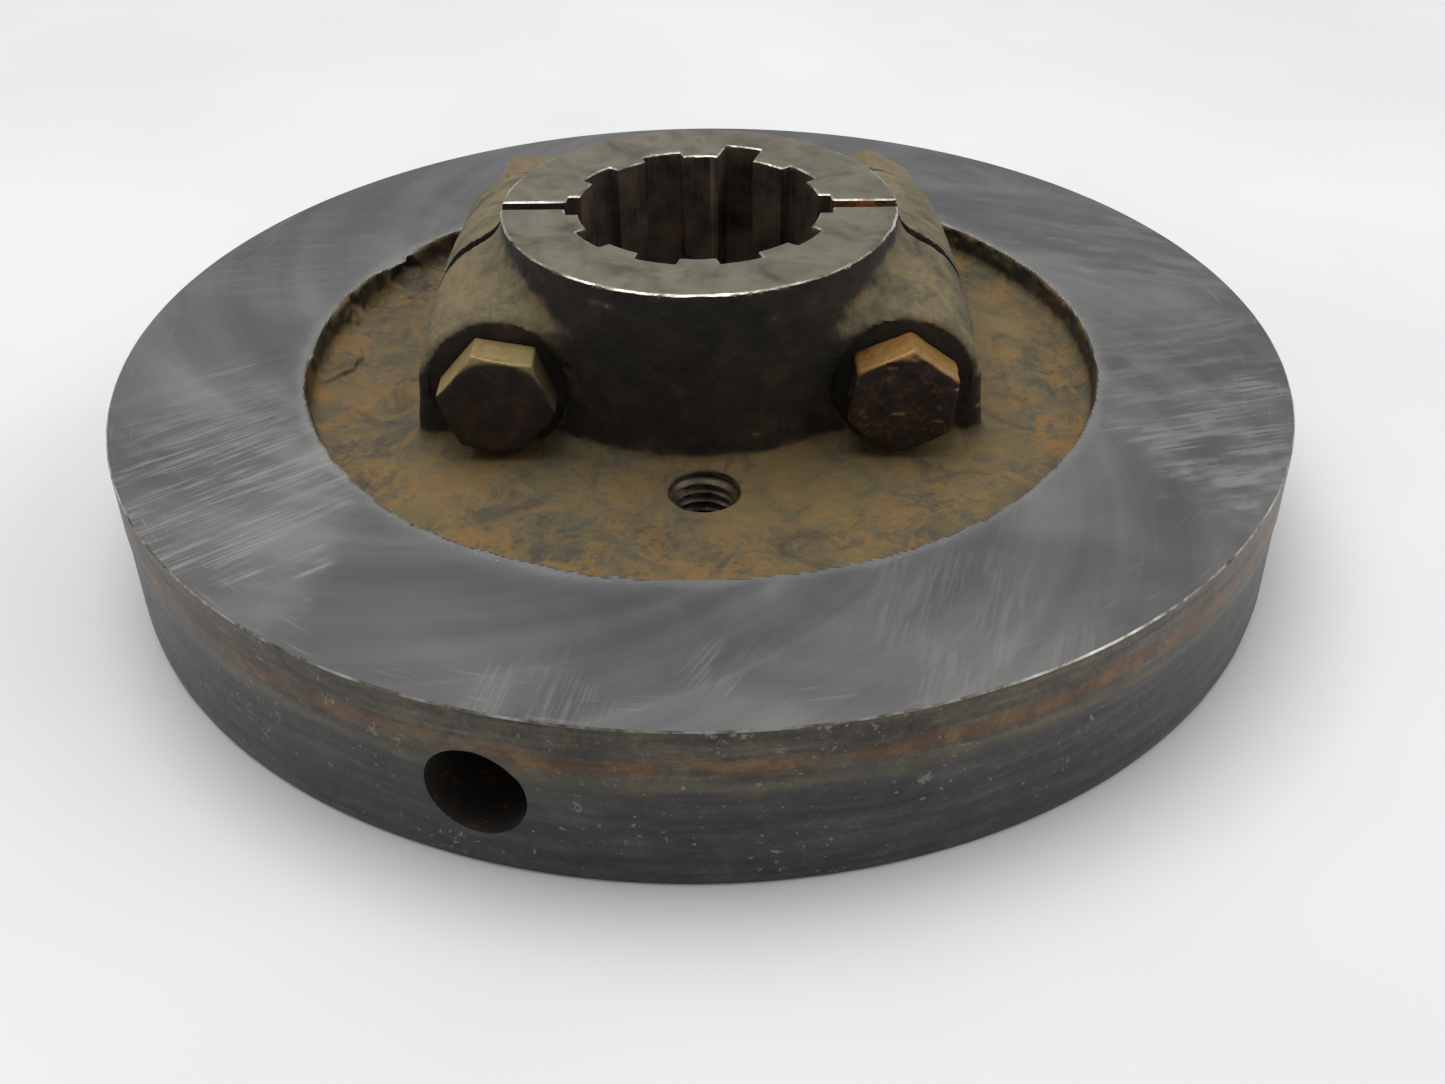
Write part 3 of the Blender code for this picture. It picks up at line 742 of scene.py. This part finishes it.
def rim_side_finish():
    """The rim's outer side: brown scale over dark steel, a rusty stripe, and pale crumbs of scale."""
    f = Finish("rim_side", 0.46, 0.3, 0.5)
    x, y, z = f.parts(f.place)
    broad = f.noise(26.0, 4.0, 0.6, warp=0.5)
    middle = f.noise(6.0, 5.0, 0.7, warp=0.3)
    grain = f.noise(1.2, 5.0, 0.7)
    flat = f.streaks(f.vector("MULTIPLY", f.place, (40.0, 40.0, 520.0)), 4.0, 0.65)
    height = f.math("MULTIPLY_ADD", f.math("SUBTRACT", broad, 0.5), 0.008, z)
    lumps = f.math("MULTIPLY_ADD", middle, 0.35, f.math("MULTIPLY", grain, 0.20))
    mottle = f.math("MULTIPLY_ADD", flat, 0.45, lumps)
    colour = f.ramp(
        mottle, (0.38, tone(36, 33, 28)), (0.46, tone(62, 56, 46)),
        (0.53, tone(82, 75, 62)), (0.62, tone(108, 100, 86)))
    greenish = f.math("MULTIPLY", f.band(height, 0.0160, 0.0185), f.band(height, 0.0245, 0.0210))
    colour = f.cover(colour, tone(82, 80, 62), greenish, 0.4)
    lower = f.band(height, (FACE_Z - 11.5) / MM, (FACE_Z - 14.0) / MM)
    steel = f.ramp(mottle, (0.38, tone(34, 35, 37)), (0.50, tone(52, 53, 55)), (0.62, tone(74, 73, 71)))
    colour = f.cover(colour, steel, lower, 0.85)
    above_stripe = f.band(height, (FACE_Z - 5.0) / MM, (FACE_Z - 6.6) / MM)
    stripe = f.math("MULTIPLY", f.band(height, (FACE_Z - 9.0) / MM, (FACE_Z - 7.8) / MM), above_stripe)
    broken = f.math("MULTIPLY_ADD", flat, 0.7, broad)
    rightward = f.math("MULTIPLY_ADD", f.band(x, -0.02, 0.09), 0.30, broken)
    stripe = f.math("MULTIPLY", stripe, f.band(rightward, 0.66, 0.98))
    stripe_colour = f.ramp(middle, (0.42, tone(88, 58, 34)), (0.60, tone(128, 92, 50)))
    colour = f.cover(colour, stripe_colour, stripe, 0.8)
    rust_cloud = f.band(f.noise(9.0, 6.0, 0.75, warp=0.8), 0.52, 0.66)
    upper_rust = f.math("MULTIPLY", rust_cloud, f.band(height, 0.018, 0.024))
    colour = f.cover(colour, tone(112, 84, 46), upper_rust, 0.45)
    cluster = f.band(f.noise(15.0, 3.0), 0.50, 0.62)
    fine_crumbs = f.band(f.math("MULTIPLY_ADD", cluster, 0.05, f.noise(1.3, 2.0, 0.6)), 0.67, 0.73)
    big_crumbs = f.band(f.math("MULTIPLY_ADD", cluster, 0.06, f.noise(3.6, 5.0, 0.8)), 0.66, 0.70)
    frontward = f.math("MULTIPLY_ADD", y, -0.9, f.noise(30.0, 3.0))
    crumbs = f.math("MAXIMUM", fine_crumbs, big_crumbs)
    specks = f.math("MULTIPLY", crumbs, f.band(frontward, 0.44, 0.58))
    colour = f.cover(colour, tone(138, 135, 122), specks, 0.75)
    f.set("Base Color", colour)
    crumb_roughness = f.math("MULTIPLY_ADD", specks, 0.2, 0.28)
    f.set("Roughness", f.math("MULTIPLY_ADD", middle, 0.3, crumb_roughness))
    f.bump(middle, 0.25, 0.5)
    f.bump(grain, 0.14, 0.6)
    f.bump(specks, 0.12, 0.6)
    return f.material


def bore_finish():
    """Broached bore: dark oiled metal with upright tool marks and thin brown rust."""
    f = Finish("bore", 0.42, 0.45)
    marks = f.streaks(f.vector("MULTIPLY", f.place, (1300.0, 1300.0, 22.0)), 3.0, 0.6)
    cloud = f.noise(8.0, 4.0, 0.6)
    colour = f.ramp(cloud, (0.34, tone(54, 49, 43)), (0.52, tone(86, 77, 66)), (0.68, tone(116, 94, 72)))
    colour = f.cover(colour, tone(110, 98, 84), f.band(marks, 0.52, 0.70), 0.4)
    f.set("Base Color", colour)
    f.set("Roughness", f.math("MULTIPLY_ADD", cloud, 0.3, 0.30))
    f.bump(marks, 0.03, 0.6)
    f.bump(f.noise(1.6, 3.0), 0.04, 0.5)
    return f.material


def slit_finish():
    """The sawn slit, also used inside the rim's drilled hole: dark brown-black, with bright orange rust in the
    hub's right side.
    """
    f = Finish("slit", 0.8, 0.1)
    x = f.parts(f.place)[0]
    cloud = f.noise(3.2, 4.0, 0.65, warp=0.6)
    bright = f.math("MULTIPLY", f.band(x, -0.01, 0.03), f.band(x, 0.0410, 0.0365))
    rusty = f.math("MULTIPLY_ADD", bright, 0.20, f.math("SUBTRACT", cloud, 0.17))
    colour = f.ramp(rusty, (0.40, tone(40, 35, 29)), (0.50, tone(84, 56, 32)), (0.62, tone(158, 92, 38)))
    f.set("Base Color", colour)
    f.bump(cloud, 0.3, 0.8)
    return f.material


def worn_edge_finish():
    """Edges rubbed bright in places and dull grey-brown between them."""
    f = Finish("worn_edge", 0.34, 0.9)
    cloud = f.noise(7.0, 5.0, 0.7, warp=0.4)
    f.set("Base Color", f.ramp(
        cloud, (0.34, tone(80, 75, 64)), (0.44, tone(118, 113, 102)), (0.54, tone(166, 162, 153)),
        (0.68, tone(202, 200, 194))))
    f.set("Roughness", f.math("MULTIPLY_ADD", cloud, -0.3, 0.50))
    f.bump(f.noise(0.9, 3.0), 0.05, 0.7)
    return f.material


def underside_finish():
    """Underside: dull grey machined iron under patchy brown rust."""
    f = Finish("underside", 0.55, 0.5)
    cloud = f.noise(20.0, 5.0, 0.65, warp=0.6)
    colour = f.ramp(
        cloud, (0.34, tone(78, 74, 70)), (0.52, tone(104, 98, 90)),
        (0.64, tone(120, 88, 56)), (0.76, tone(132, 84, 44)))
    f.set("Base Color", colour)
    f.bump(f.noise(1.5, 4.0, 0.65), 0.08, 0.6)
    return f.material


def fastener_finish(name, top_tone, rust_tone, crust):
    """Clamp bolt or nut: dusty tan and orange on what faces up at rest, dark brown oxide elsewhere; the light tops
    and dark sides are partly painted light and shade from above.
    """
    f = Finish(name, 0.5, 0.35, 0.5)
    facing_up = f.parts(f.facing)[2]
    cloud = f.noise(5.0, 5.0, 0.65, warp=0.6)
    grain = f.noise(1.0, 4.0, 0.7)
    # Dark brown oxide for sides and undersides, which also stands in as painted shade where the light from above
    # falls weakly.
    dark = f.ramp(cloud, (0.34, tone(34, 28, 26)), (0.52, tone(50, 40, 35)), (0.68, tone(68, 50, 38)))
    dust_and_painted_light = f.mix(f.band(cloud, 0.46, 0.66), top_tone, rust_tone)
    dust_and_painted_light = f.cover(dust_and_painted_light, tone(96, 76, 46), f.band(grain, 0.52, 0.74), 0.3)
    # Faces turned up take the light dusty colour: real dusting, and also painted light from above.
    upward = f.band(f.math("MULTIPLY_ADD", cloud, 0.3, facing_up), 0.30, 0.66)
    colour = f.mix(upward, dark, dust_and_painted_light)
    crust_spots = f.band(f.noise(2.4, 5.0, 0.7, warp=0.8), 0.58 - 0.1 * crust, 0.72)
    colour = f.cover(colour, rust_tone, crust_spots, crust)
    f.set("Base Color", colour)
    f.set("Roughness", f.math("MULTIPLY_ADD", grain, 0.3, 0.36))
    f.bump(cloud, 0.12, 0.5)
    f.bump(grain, 0.06 + 0.10 * crust, 0.7)
    return f.material


def thread_finish():
    """Tapped threads: slightly shiny metal, mottled dark and brown."""
    f = Finish("thread", 0.42, 0.5)
    cloud = f.noise(3.0, 4.0, 0.6)
    f.set("Base Color", f.ramp(cloud, (0.36, tone(38, 33, 28)), (0.60, tone(84, 71, 53))))
    f.bump(f.noise(0.8, 3.0), 0.04, 0.6)
    return f.material


def washer_finish():
    """Spring steel with dark oxide and light rust."""
    f = Finish("spring_steel", 0.4, 0.7)
    cloud = f.noise(3.5, 4.0, 0.6, warp=0.4)
    colour = f.ramp(cloud, (0.38, tone(52, 48, 44)), (0.56, tone(86, 78, 70)), (0.72, tone(128, 84, 46)))
    f.set("Base Color", colour)
    f.bump(f.noise(1.0, 3.0), 0.04, 0.6)
    return f.material


# Casting

def rim_profile():
    """Closed half section of the plain rim, from its inner top edge round to its inner bottom edge."""
    inner = CORE_RADIUS - CORE_OVERLAP
    profile = [(inner, FACE_Z), (DISC_RADIUS - 4.0, FACE_Z), (DISC_RADIUS - 0.36, FACE_Z)]
    profile += [(DISC_RADIUS - 0.08, FACE_Z - 0.30)]
    profile += [(DISC_RADIUS - 0.02, height) for height in np.arange(FACE_Z - 1.4, 1.6, -1.15)]
    profile += [(DISC_RADIUS - 0.25, 0.75), (DISC_RADIUS - 0.8, 0.2), (DISC_RADIUS - 1.6, 0.0)]
    profile += [(RELIEF_RADIUS, 0.0), (RELIEF_RADIUS - UNDERSIDE_RELIEF, UNDERSIDE_RELIEF)]
    return profile + [(inner, UNDERSIDE_RELIEF)]


def worn_rim(vertices):
    """Press dents and unevenness into the rim's outer side, never outwards."""
    outer = np.hypot(vertices[:, 0], vertices[:, 1]) > DISC_RADIUS - 0.7
    band = vertices[outer]
    side = np.clip((FACE_Z - band[:, 2]) / 2.0, 0.25, 1.0)
    below_parting = np.clip(FACE_Z - PARTING_DROP - band[:, 2], 0.0, 1.0)
    dent = 0.05 * (1.0 + noise(band, 9.0, 21)) + 0.04 * (1.0 + noise(band, 3.0, 22))
    dent += 0.35 * np.clip(noise(band, 3.4, 23) - 0.6, 0.0, 1.0)
    dent = side * dent + 0.25 * below_parting
    vertices[outer, :2] *= (1.0 - dent / DISC_RADIUS)[:, None]
    return vertices


def add_rim():
    """The turned rim with its drilled hole, which joins the finely made middle of the casting."""
    profile = rim_profile()
    vertices = worn_rim(turned(profile, RIM_SEGMENTS))
    rim = add_mesh("rim", vertices, ring_faces(len(profile), RIM_SEGMENTS, True))
    tip = RIM_HOLE_DEPTH + RIM_HOLE_RADIUS / math.tan(DRILL_POINT)
    bit = [(0.001, tip), (RIM_HOLE_RADIUS, RIM_HOLE_DEPTH), (RIM_HOLE_RADIUS, -5.0), (0.001, -5.0)]
    drill = add_mesh("drill", turned(bit, 64), ring_faces(len(bit), 64, True))
    outward = Vector((math.cos(RIM_HOLE_ANGLE), math.sin(RIM_HOLE_ANGLE), 0.0))
    mouth = (outward * DISC_RADIUS + Vector((0.0, 0.0, RIM_HOLE_HEIGHT))) / MM
    turn = (-outward).to_track_quat("Z", "Y").to_matrix().to_4x4()
    drill.matrix_world = Matrix.Translation(mouth) @ turn
    combine(rim, drill, "DIFFERENCE")
    return rim


def casting_slots(item):
    """Give each face of the casting the finish of the place it lies in."""
    count = len(item.data.polygons)
    centre, normal = np.zeros(count * 3), np.zeros(count * 3)
    item.data.polygons.foreach_get("center", centre)
    item.data.polygons.foreach_get("normal", normal)
    x, y, z = centre.reshape(-1, 3).T * MM
    nx, ny, nz = normal.reshape(-1, 3).T
    radius = np.hypot(x, y)
    facing_out = (x * nx + y * ny) / np.maximum(radius, 1e-6)
    finish = np.full(count, CASTING_FINISHES.index("cast_skin"))

    def put(name, where):
        finish[where] = CASTING_FINISHES.index(name)

    put("underside", z < UNDERSIDE_RELIEF + 0.1)
    put("bore", (radius < 30.0) & (z > UNDERSIDE_RELIEF + 0.1))
    along_slit = (np.abs(x) > SPLINE_MAJOR_RADIUS + 0.2) & (np.abs(x) < SLIT_HALF_LENGTH + 0.2)
    in_slit = along_slit & (np.abs(y) < SLIT_HALF_WIDTH + 0.2) & (z > SLIT_FLOOR - 0.3)
    put("slit", in_slit & (np.abs(nz) < 0.7))
    from_bolt = np.hypot(np.abs(x) - BOLT_X, z - BOLT_Z)
    put("bore", (from_bolt < CLEARANCE_HOLE_RADIUS + 0.2) & (np.abs(y) < LUG_REAR))
    put("worn_edge", (z > HUB_TOP - 0.9) & (nz > 0.2))
    put("hub_face", (z > HUB_TOP - 0.06) & (nz > 0.98))
    put("machined_face", (radius > WALL_INNER_RADIUS) & (z > FACE_Z - 0.5) & (nz > 0.6))
    in_rim_hole = (radius > RELIEF_RADIUS) & (radius < DISC_RADIUS - 0.9)
    put("slit", in_rim_hole & (z > 2.0) & (z < FACE_Z - 2.0))
    put("rim_side", (radius > DISC_RADIUS - 0.9) & (facing_out > 0.3))
    put("worn_edge", (radius > DISC_RADIUS - 0.6) & (z > FACE_Z - 0.4) & (nz > 0.3) & (nz < 0.98))
    item.data.polygons.foreach_set("material_index", finish.astype(np.int32))
    ground_flat = (finish == CASTING_FINISHES.index("machined_face")) & (nz > 0.98)
    item.data.polygons.foreach_set("use_smooth", ~ground_flat)


def level_flats(item):
    """Put the corners of the machined faces exactly at their heights."""
    places = np.zeros(len(item.data.vertices) * 3)
    item.data.vertices.foreach_get("co", places)
    places = places.reshape(-1, 3) * MM
    radius = np.hypot(places[:, 0], places[:, 1])
    on_face = (radius > WALL_INNER_RADIUS) & (np.abs(places[:, 2] - FACE_Z) < 0.06)
    places[on_face, 2] = FACE_Z
    places[places[:, 2] > HUB_TOP - 0.03, 2] = HUB_TOP
    item.data.vertices.foreach_set("co", (places / MM).ravel())
    item.data.update()


def add_casting(finishes):
    """The whole casting in one piece, and the threads of its two tapped holes."""
    reach = CORE_RADIUS + 1.3
    casting = add_field(
        "casting", casting_field, (-reach, -reach, 0.3), (reach, reach, HUB_TOP + 1.4), CASTING_STEP)
    thin_out(casting, CASTING_TRIANGLES)
    level_flats(casting)
    combine(casting, add_rim(), "UNION", "MANIFOLD")
    split_into_triangles(casting)
    casting.data.materials.clear()
    for name in CASTING_FINISHES:
        casting.data.materials.append(finishes[name])
    shade(casting, 38.0)
    casting_slots(casting)
    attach(casting, "disc")
    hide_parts("drive_disc")
    for name, angle in TAPPED_ANGLES.items():
        add_tapped_thread(name, angle, finishes["thread"])


def add_tapped_thread(name, angle, finish):
    """The thread in a tapped hole: a sleeve threaded inside, with its outside sunk in the web."""
    outer = TAPPED_HOLE_RADIUS + TAPPED_THREAD_WALL
    heights = np.arange(UNDERSIDE_RELIEF + 0.25, WEB_Z_AT_HUB - 0.75, THREAD_PITCH / 10.0)
    angles = 2.0 * math.pi * np.arange(THREAD_SEGMENTS) / THREAD_SEGMENTS
    rows = []
    for height in heights:
        start = np.clip((heights[-1] - height) / 1.6, 0.0, 1.0)
        radius = thread_radius(angles, height, TAPPED_CREST_RADIUS, TAPPED_ROOT_RADIUS)
        radius = radius * start + TAPPED_ROOT_RADIUS * (1.0 - start)
        rows.append(ring(radius, angles, height))
    rows += [ring(outer, angles, heights[-1]), ring(outer, angles, heights[0])]
    vertices = np.concatenate(rows)
    vertices[:, 0] += TAPPED_CIRCLE_RADIUS * math.cos(angle)
    vertices[:, 1] += TAPPED_CIRCLE_RADIUS * math.sin(angle)
    sleeve = add_mesh(f"{name}_hole_thread", vertices, ring_faces(len(rows), THREAD_SEGMENTS, True))
    sleeve.data.materials.append(finish)
    shade(sleeve, 45.0)
    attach(sleeve, "disc")


# Fasteners

def add_shank(name, length, thread_length):
    """Bolt shank along +Y from its seat, with the thread cut on its far end."""
    segments = 48
    angles = 2.0 * math.pi * np.arange(segments) / segments
    places = [-1.0, 0.0]
    places += list(np.arange(6.0, length - thread_length, 6.0))
    places += list(np.arange(length - thread_length, length, THREAD_PITCH / 9.0)) + [length]
    rows = []
    for place in places:
        cut = np.clip((place - (length - thread_length)) / 2.0, 0.0, 1.0)
        radius = thread_radius(angles, place, THREAD_MINOR_RADIUS, THREAD_MAJOR_RADIUS)
        radius = SHANK_RADIUS * (1.0 - cut) + radius * cut
        radius = np.minimum(radius, THREAD_MINOR_RADIUS - 0.3 + (length - place))
        rows.append(ring(radius, angles, place)[:, [0, 2, 1]])
    faces = ring_faces(len(rows), segments, False)
    last = (len(rows) - 1) * segments
    faces.append(list(range(segments)))
    faces.append(list(range(last + segments - 1, last - 1, -1)))
    return add_mesh(name, np.concatenate(rows), faces)


def add_bolt(name, side, finish):
    """Clamp bolt: its head, made as a field, joined to its shank."""
    low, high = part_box(f"clamp_bolt_{name}")
    seat = low.y * MM + HEAD_HEIGHT
    bolt = add_field(
        f"bolt_{name}",
        lambda points: head_field(points, HEAD_ANGLE[name], HEAD_WEAR[name], HEAD_SEED[name]),
        (-HEX_REACH, -HEAD_HEIGHT - 1.0, -HEX_REACH), (HEX_REACH, 2.4, HEX_REACH), FASTENER_STEP)
    combine(bolt, add_shank("shank", high.y * MM - seat, THREADED_LENGTH), "UNION", "MANIFOLD")
    bolt.data.transform(Matrix.Translation(Vector((side * BOLT_X, seat, BOLT_Z)) / MM))
    bolt.data.materials.clear()
    bolt.data.materials.append(finish)
    shade(bolt, 32.0)
    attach(bolt, f"{name}_bolt")
    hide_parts(f"clamp_bolt_{name}")


def add_nut(name, side, finish):
    """Clamp nut, seated where the CAD's is."""
    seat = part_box(f"clamp_nut_{name}")[0].y * MM
    nut = add_field(
        f"nut_{name}", lambda points: nut_field(points, NUT_ANGLE[name], NUT_SEED),
        (-HEX_REACH, -1.0, -HEX_REACH), (HEX_REACH, NUT_HEIGHT + 1.0, HEX_REACH), FASTENER_STEP)
    nut.data.transform(Matrix.Translation(Vector((side * BOLT_X, seat, BOLT_Z)) / MM))
    nut.data.materials.append(finish)
    shade(nut, 32.0)
    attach(nut, f"{name}_nut")
    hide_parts(f"clamp_nut_{name}")


def finish_washer(name, finish):
    """The CAD's split washer with its edges rounded."""
    washer = frame["nodes"][f"lock_washer_{name}"]
    washer.material_slots[0].material = finish
    rounding = washer.modifiers.new("rounding", "BEVEL")
    rounding.width = 0.35 / MM
    rounding.segments = 2
    rounding.limit_method = "ANGLE"
    rounding.angle_limit = math.radians(40.0)


# Studio

def add_camera():
    data = bpy.data.cameras.new("camera")
    data.lens = 41.006
    data.sensor_width = 36.0
    data.clip_start = 0.01
    data.clip_end = 20.0
    camera = bpy.data.objects.new("camera", data)
    bpy.context.scene.collection.objects.link(camera)
    camera.matrix_world = Matrix((
        (0.99996, 0.00840, 0.00000, 0.003916),
        (-0.00491, 0.58432, -0.81148, -0.290236),
        (-0.00682, 0.81148, 0.58434, 0.192940),
        (0.0, 0.0, 0.0, 1.0)))
    bpy.context.scene.camera = camera


def add_light(name, place, target, size, power):
    data = bpy.data.lights.new(name, "AREA")
    data.size = size
    data.energy = power
    light = bpy.data.objects.new(name, data)
    bpy.context.scene.collection.objects.link(light)
    light.location = place
    light.rotation_mode = "QUATERNION"
    light.rotation_quaternion = (Vector(place) - Vector(target)).to_track_quat("Z", "Y")


def add_studio():
    """A pale floor under soft light from above and behind, with the darker side in front."""
    f = Finish("pale_floor", 0.45, 0.0, 0.3)
    colour = f.ramp(
        f.noise(180.0, 3.0, 0.5), (0.35, (0.63, 0.635, 0.64, 1.0)), (0.65, (0.69, 0.693, 0.695, 1.0)))
    f.set("Base Color", colour)
    corners = [(-3000, -3000, 0), (3000, -3000, 0), (3000, 3000, 0), (-3000, 3000, 0)]
    floor = add_mesh("floor", corners, [(0, 1, 2, 3)])
    floor.data.materials.append(f.material)
    world = bpy.data.worlds.new("studio")
    bpy.context.scene.world = world
    world.use_nodes = True
    nodes, links = world.node_tree.nodes, world.node_tree.links
    background = nodes["Background"]
    place = nodes.new("ShaderNodeTexCoord")
    split = nodes.new("ShaderNodeSeparateXYZ")
    links.new(place.outputs["Generated"], split.inputs[0])
    rear = nodes.new("ShaderNodeMapRange")
    for name, value in (("From Min", -0.9), ("From Max", 0.7), ("To Min", 0.32), ("To Max", 0.80)):
        rear.inputs[name].default_value = value
    links.new(split.outputs["Y"], rear.inputs["Value"])
    links.new(rear.outputs["Result"], background.inputs["Strength"])
    background.inputs["Color"].default_value = (0.97, 0.975, 1.0, 1.0)
    add_light("overhead", (-0.20, 0.15, 1.25), (0.0, 0.0, 0.0), 1.0, 12.5)
    add_light("side", (0.9, -0.1, 0.8), (0.0, 0.0, 0.0), 0.7, 3.2)


bpy.context.scene.view_settings.view_transform = "Standard"
add_camera()
add_studio()
FINISHES = {
    "cast_skin": cast_skin_finish(), "machined_face": machined_face_finish(), "hub_face": hub_face_finish(),
    "rim_side": rim_side_finish(), "bore": bore_finish(), "slit": slit_finish(),
    "worn_edge": worn_edge_finish(), "underside": underside_finish(), "thread": thread_finish()}
add_casting(FINISHES)
# The first tone given to each fastener finish colours its up-facing places: dusty colour plus painted light from
# above.
bolt_finishes = {
    "left": fastener_finish("bolt_left_skin", tone(138, 122, 78), tone(130, 96, 52), 0.15),
    "right": fastener_finish("bolt_right_skin", tone(138, 106, 52), tone(128, 84, 38), 0.7)}
washer_skin = washer_finish()
nut_skin = fastener_finish("nut_skin", tone(108, 96, 64), tone(104, 80, 46), 0.3)
for side_name, side_sign in SIDES.items():
    add_bolt(side_name, side_sign, bolt_finishes[side_name])
    add_nut(side_name, side_sign, nut_skin)
    finish_washer(side_name, washer_skin)
